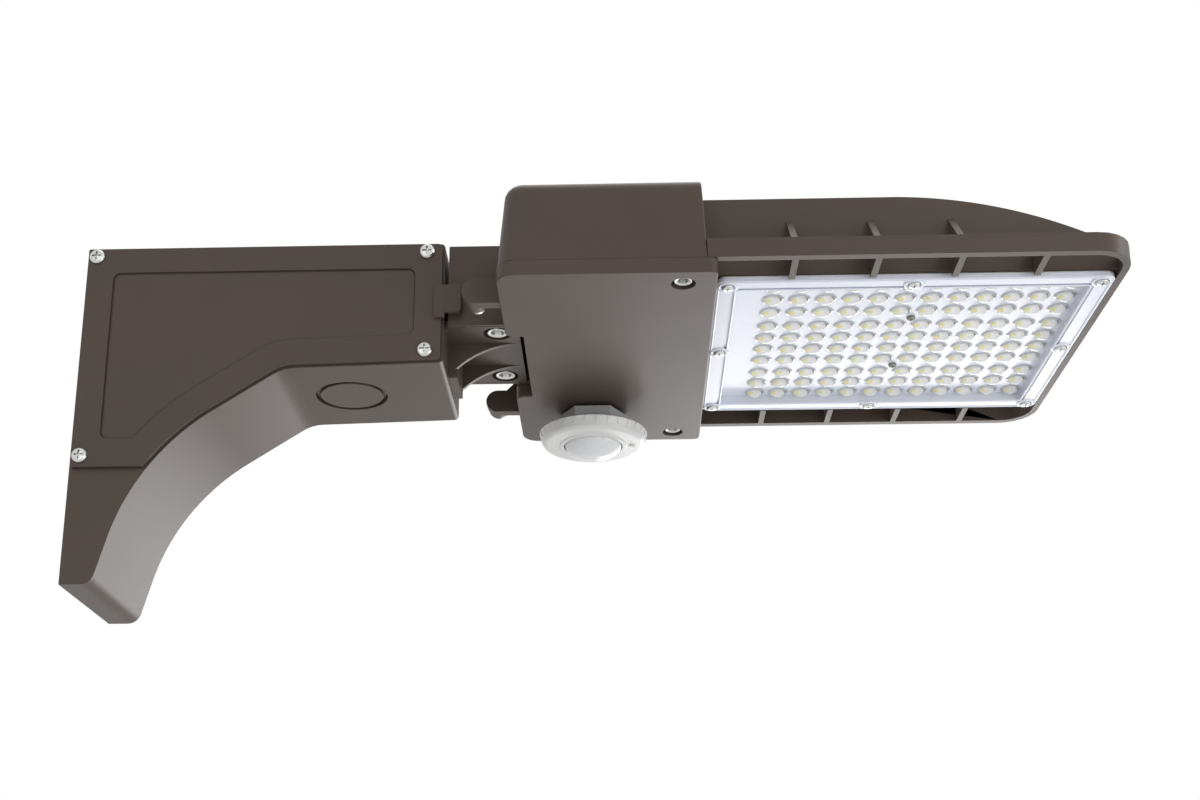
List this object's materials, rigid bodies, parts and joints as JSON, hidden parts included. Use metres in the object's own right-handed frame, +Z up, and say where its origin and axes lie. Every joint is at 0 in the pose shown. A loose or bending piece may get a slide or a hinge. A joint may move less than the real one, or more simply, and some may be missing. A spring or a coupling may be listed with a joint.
{
  "type": "shoebox area light",
  "caption": "Shoebox area light on a swept pole arm, with a hinged driver door, finned lamp head, clear lens panel and a twist-on sensor.",
  "frame": {"origin": "midway between the two pole bolts, on the arm's back face", "axes": "+X out from the pole along the arm, +Y to the side, +Z up"},
  "size_m": [0.662, 0.277, 0.232],
  "materials": {
    "bronze_coat": "bronze powder coat, satin, fine texture",
    "cover_coat": "bronze powder coat, satin, fine texture",
    "bright_zinc": "bright zinc plate",
    "steel": "plain stainless steel",
    "black_rubber": "moulded rubber",
    "white_silicone": "moulded silicone",
    "clear_lens": "clear moulded polycarbonate with a cool tint",
    "white_board": "white solder mask",
    "phosphor": "yellow phosphor under clear resin",
    "driver_case": "plain aluminium case",
    "dark_case": "dark moulded plastic",
    "pale_plastic": "pale moulded plastic",
    "ground_green": "green enamel",
    "grey_plastic": "grey moulded plastic",
    "cap_plastic": "pale grey moulded plastic",
    "dome_plastic": "translucent white moulded plastic",
    "circuit_green": "green circuit board"
  },
  "bodies": {
    "fixture": {"arm_bracket": "bronze_coat", "arm_gasket": "black_rubber", "arm_cover": "cover_coat", "arm_cover_screws": "bright_zinc", "knockout_plug": "bronze_coat", "entry_grommet": "black_rubber", "outlet_grommet": "black_rubber", "saddle": "bronze_coat", "saddle_screws": "steel", "saddle_bolts": "bright_zinc", "hang_hook": "cover_coat", "housing": "bronze_coat", "lamp_head": "bronze_coat", "head_screws": "bright_zinc", "neck_grommet": "black_rubber", "led_driver": "driver_case", "driver_screws": "bright_zinc", "surge_protector": "dark_case", "terminal_block": "pale_plastic", "ground_screw": "ground_green", "led_board": "white_board", "led_chips": "phosphor", "lens_gasket": "white_silicone", "lens_panel": "clear_lens", "lens_screws": "bright_zinc", "board_screws": "bright_zinc", "hinge_pins": "bright_zinc"},
    "door": {"driver_door": "bronze_coat", "door_gasket": "black_rubber", "door_screws": "bright_zinc", "sensor_seal": "black_rubber", "sensor_base": "grey_plastic", "sensor_locknut": "grey_plastic"},
    "sensor_head": {"sensor_board": "circuit_green", "sensor_cap": "cap_plastic", "sensor_dome": "dome_plastic"}
  },
  "joints": [
    {"name": "door_swing", "type": "hinge", "parent": "fixture", "child": "door", "pos_m": [0.2632, 0, 0.018], "axis": [0, 1, 0], "range_deg": [0, 90]},
    {"name": "sensor_twist", "type": "hinge", "parent": "door", "child": "sensor_head", "pos_m": [0.333, 0.086, 0], "axis": [0, 0, 1], "range_deg": [0, 40]}
  ]
}
